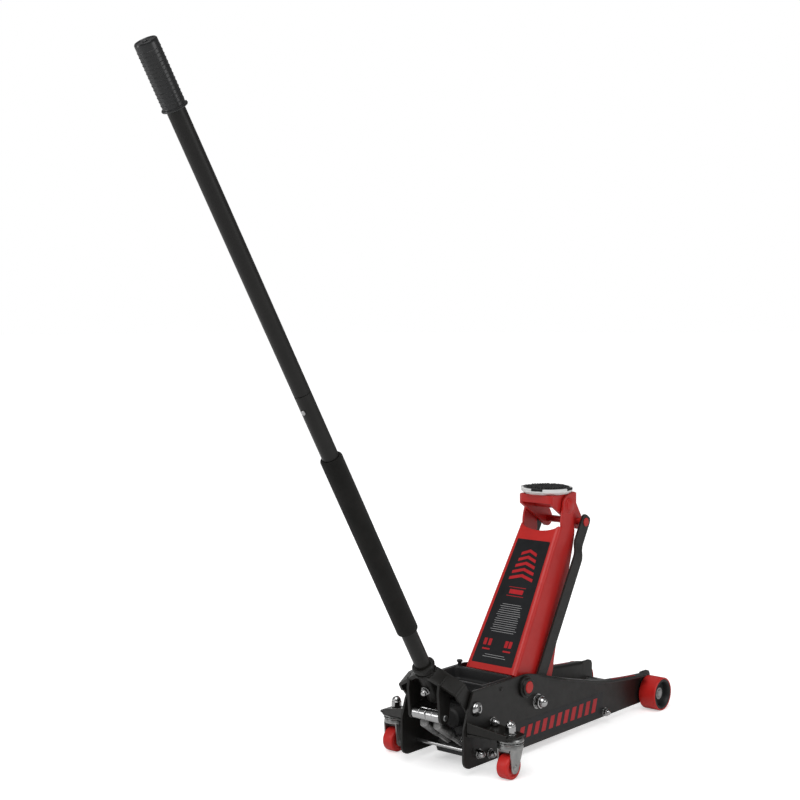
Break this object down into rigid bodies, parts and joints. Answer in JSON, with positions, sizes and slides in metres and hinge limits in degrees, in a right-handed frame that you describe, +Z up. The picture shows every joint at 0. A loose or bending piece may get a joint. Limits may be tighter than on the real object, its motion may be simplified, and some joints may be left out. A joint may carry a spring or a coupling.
{
  "type": "trolley jack",
  "caption": "Wheeled hydraulic floor jack with a raised red lift arm, round saddle, low black steel chassis and a long two-piece handle with foam sleeve.",
  "frame": {"origin": "centre of the bounding box on the floor plane, on the chassis' middle plane between the two side plates", "axes": "+X along the chassis from the castors to the front wheels, +Y to the jack's left seen from the handle, +Z up"},
  "size_m": [1.4562, 0.346, 1.3597],
  "materials": {
    "black_paint": "satin black powder coat",
    "red_paint": "semi-gloss red enamel",
    "white_ring": "satin white paint",
    "cast_iron": "rough cast, dark",
    "steel": "machined",
    "zinc": "satin zinc plate",
    "chrome": "polished",
    "black_plastic": "fine grain",
    "red_tread": "smooth moulded polyurethane",
    "foam": "matte closed-cell foam",
    "rubber": "matte moulded rubber"
  },
  "bodies": {
    "chassis": {"side_plate_left": "black_paint", "side_plate_right": "black_paint", "rear_tie_rod": "chrome", "front_tie_rod": "chrome", "front_axle": "steel", "shaft_boss_left": "black_paint", "shaft_boss_right": "black_paint", "pivot_bolt_left": "chrome", "pivot_bolt_right": "chrome", "link_bolt_left": "chrome", "link_bolt_right": "chrome", "tool_tray": "black_plastic", "hydraulic_block": "cast_iron", "ram_cylinder": "cast_iron", "pump_spring_left": "steel", "pump_spring_right": "steel", "castor_bracket_left": "black_paint", "castor_bracket_right": "black_paint", "castor_race_left": "zinc", "castor_race_right": "zinc", "castor_stud_left": "chrome", "castor_stud_right": "chrome"},
    "arm": {"lift_arm": "red_paint", "lift_shaft": "red_paint", "head_pin": "red_paint", "lever_pin": "steel"},
    "head": {"saddle_head": "red_paint", "link_pin": "red_paint"},
    "saddle": {"saddle_cup": "white_ring", "saddle_pad": "rubber"},
    "link_left": {"link_bar_left": "black_paint"},
    "link_right": {"link_bar_right": "black_paint"},
    "ram": {"ram_rod": "chrome", "ram_head": "cast_iron"},
    "yoke": {"handle_yoke": "black_paint", "socket_bolt": "chrome", "roller_pin": "zinc"},
    "roller_left": {"pump_roller_left": "chrome"},
    "roller_right": {"pump_roller_right": "chrome"},
    "pump_left": {"pump_piston_left": "steel"},
    "pump_right": {"pump_piston_right": "steel"},
    "handle": {"handle_lower_tube": "black_paint", "handle_upper_tube": "black_paint", "foam_sleeve": "foam", "handle_grip": "rubber"},
    "button": {"snap_button": "chrome"},
    "release": {"release_spindle": "steel"},
    "castor_left": {"castor_fork_left": "zinc", "castor_axle_left": "zinc"},
    "castor_right": {"castor_fork_right": "zinc", "castor_axle_right": "zinc"},
    "castor_roll_left": {"castor_wheel_left": "red_tread"},
    "castor_roll_right": {"castor_wheel_right": "red_tread"},
    "front_left": {"front_wheel_hub_left": "black_plastic", "front_wheel_tread_left": "red_tread"},
    "front_right": {"front_wheel_hub_right": "black_plastic", "front_wheel_tread_right": "red_tread"}
  },
  "joints": [
    {"name": "lift_arm_hinge", "type": "hinge", "parent": "chassis", "child": "arm", "pos_m": [0.21357, 0, 0.1435], "axis": [0, -1, 0], "range_deg": [-66.9, 2]},
    {"name": "saddle_head_hinge", "type": "hinge", "parent": "arm", "child": "head", "pos_m": [0.41958, 0, 0.49254], "axis": [0, -1, 0], "range_deg": [-2.5, 67.5]},
    {"name": "saddle_turn", "type": "hinge", "parent": "head", "child": "saddle", "pos_m": [0.40558, 0, 0.52], "axis": [0, 0, 1], "continuous": true},
    {"name": "link_left_hinge", "type": "hinge", "parent": "chassis", "child": "link_left", "pos_m": [0.25657, 0.07, 0.104], "axis": [0, -1, 0], "range_deg": [-67.5, 2.5]},
    {"name": "link_right_hinge", "type": "hinge", "parent": "chassis", "child": "link_right", "pos_m": [0.25657, -0.07, 0.104], "axis": [0, -1, 0], "range_deg": [-67.5, 2.5]},
    {"name": "ram_slide", "type": "slide", "parent": "chassis", "child": "ram", "axis": [1, 0, 0], "range_m": [-0.0645, 0.0025]},
    {"name": "handle_tilt", "type": "hinge", "parent": "chassis", "child": "yoke", "pos_m": [0.04757, 0, 0.1317], "axis": [0, -1, 0], "range_deg": [-15, 40]},
    {"name": "roller_left_spin", "type": "hinge", "parent": "yoke", "child": "roller_left", "pos_m": [-0.00243, 0.017, 0.11701], "axis": [0, 1, 0], "continuous": true},
    {"name": "roller_right_spin", "type": "hinge", "parent": "yoke", "child": "roller_right", "pos_m": [-0.00243, -0.017, 0.11701], "axis": [0, 1, 0], "continuous": true},
    {"name": "pump_left_slide", "type": "slide", "parent": "chassis", "child": "pump_left", "axis": [0.829, 0, -0.5592], "range_m": [-0.0122, 0.0316]},
    {"name": "pump_right_slide", "type": "slide", "parent": "chassis", "child": "pump_right", "axis": [0.829, 0, -0.5592], "range_m": [-0.0122, 0.0316]},
    {"name": "handle_twist", "type": "hinge", "parent": "yoke", "child": "handle", "pos_m": [-0.01406, 0, 0.21122], "axis": [-0.5225, 0, 0.8526], "range_deg": [0, 150]},
    {"name": "release_turn", "type": "hinge", "parent": "chassis", "child": "release", "pos_m": [0.08757, 0, 0.043], "axis": [0.829, 0, -0.5592], "range_deg": [-1, 151]},
    {"name": "snap_button_press", "type": "slide", "parent": "handle", "child": "button", "axis": [0.8526, 0, 0.5225], "range_m": [0, 0.004], "stiffness_N_per_m": 600, "springref_m": -0.002},
    {"name": "castor_left_swivel", "type": "hinge", "parent": "chassis", "child": "castor_left", "pos_m": [0.07257, 0.146, 0.06], "axis": [0, 0, 1], "continuous": true},
    {"name": "castor_right_swivel", "type": "hinge", "parent": "chassis", "child": "castor_right", "pos_m": [0.07257, -0.146, 0.06], "axis": [0, 0, 1], "continuous": true},
    {"name": "castor_left_roll", "type": "hinge", "parent": "castor_left", "child": "castor_roll_left", "pos_m": [0.06657, 0.146, 0.0249], "axis": [0, 1, 0], "continuous": true},
    {"name": "castor_right_roll", "type": "hinge", "parent": "castor_right", "child": "castor_roll_right", "pos_m": [0.06657, -0.146, 0.0249], "axis": [0, 1, 0], "continuous": true},
    {"name": "front_left_roll", "type": "hinge", "parent": "chassis", "child": "front_left", "pos_m": [0.69057, 0.105, 0.0375], "axis": [0, 1, 0], "continuous": true},
    {"name": "front_right_roll", "type": "hinge", "parent": "chassis", "child": "front_right", "pos_m": [0.69057, -0.105, 0.0375], "axis": [0, 1, 0], "continuous": true}
  ],
  "couplings": [
    {"joint": "saddle_head_hinge", "follows": "lift_arm_hinge", "ratio": -1},
    {"joint": "link_left_hinge", "follows": "lift_arm_hinge", "ratio": 1},
    {"joint": "link_right_hinge", "follows": "lift_arm_hinge", "ratio": 1},
    {"joint": "ram_slide", "follows": "lift_arm_hinge", "m_per_rad": 0.05466},
    {"joint": "pump_left_slide", "follows": "handle_tilt", "m_per_rad": 0.044613},
    {"joint": "pump_right_slide", "follows": "handle_tilt", "m_per_rad": 0.044613},
    {"joint": "release_turn", "follows": "handle_twist", "ratio": 1}
  ]
}
